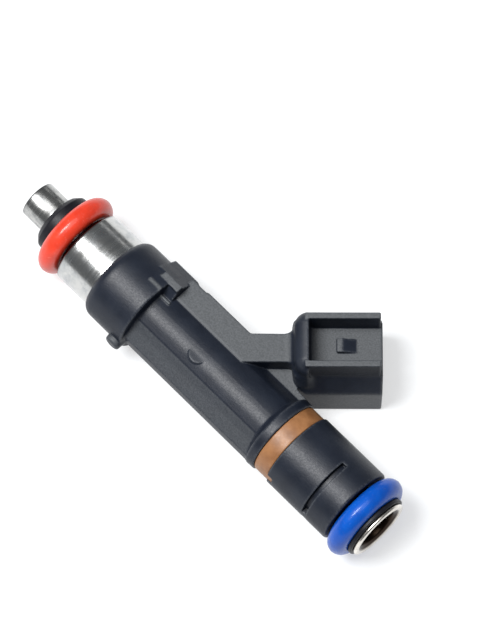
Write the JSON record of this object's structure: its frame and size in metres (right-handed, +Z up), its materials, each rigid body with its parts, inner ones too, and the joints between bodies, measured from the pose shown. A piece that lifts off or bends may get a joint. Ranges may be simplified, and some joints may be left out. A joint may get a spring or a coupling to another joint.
{
  "type": "fuel injector",
  "caption": "Electromagnetic port fuel injector with a long moulded body, an O-ring at each end, and a slanted two-pin plug housing.",
  "frame": {"origin": "on the injector's axis, in the middle plane of the nozzle O-ring", "axes": "+X along the axis from the nozzle to the fuel inlet, +Z up as the injector lies on its side, plug housing towards +X +Y"},
  "size_m": [0.0735, 0.0318, 0.0152],
  "materials": {
    "machined_steel": "turned",
    "hardened_steel": "ground",
    "drawn_steel": "drawn",
    "core_iron": "turned",
    "spring_steel": "drawn wire",
    "adjuster_steel": "rolled",
    "bright_steel": "bright turned",
    "bobbin_nylon": "moulded",
    "enamelled_copper": "wound wire",
    "tinned_brass": "stamped and tinned",
    "black_nylon": "glass-filled moulding, slight gloss",
    "brown_nylon": "moulded",
    "retainer_plastic": "moulded",
    "orange_rubber": "smooth, slightly oiled",
    "blue_rubber": "smooth, slightly oiled",
    "filter_brass": "pressed",
    "filter_nylon": "moulded",
    "mesh_nylon": "woven"
  },
  "bodies": {
    "injector": {"valve_body": "machined_steel", "valve_seat": "hardened_steel", "spray_disc": "hardened_steel", "return_spring": "spring_steel", "pole_core": "core_iron", "spring_adjuster": "adjuster_steel", "fuel_tube": "drawn_steel", "coil_bobbin": "bobbin_nylon", "coil_winding": "enamelled_copper", "solenoid_shell": "bright_steel", "flux_washer": "core_iron", "terminal_a": "tinned_brass", "terminal_b": "tinned_brass", "body_overmould": "black_nylon", "colour_ring": "brown_nylon", "end_sleeve": "black_nylon", "nozzle_retainer": "retainer_plastic", "nozzle_o_ring": "orange_rubber", "inlet_o_ring": "blue_rubber", "inlet_backing_ring": "retainer_plastic", "filter_ring": "filter_brass", "filter_frame": "filter_nylon", "filter_mesh": "mesh_nylon"},
    "valve": {"valve_ball": "hardened_steel", "valve_needle": "drawn_steel", "armature": "core_iron"}
  },
  "joints": [
    {"name": "valve_lift", "type": "slide", "parent": "injector", "child": "valve", "axis": [1, 0, 0], "range_m": [0, 0.00008], "stiffness_N_per_m": 6000, "springref_m": -0.0006, "deforming": ["return_spring"]}
  ]
}
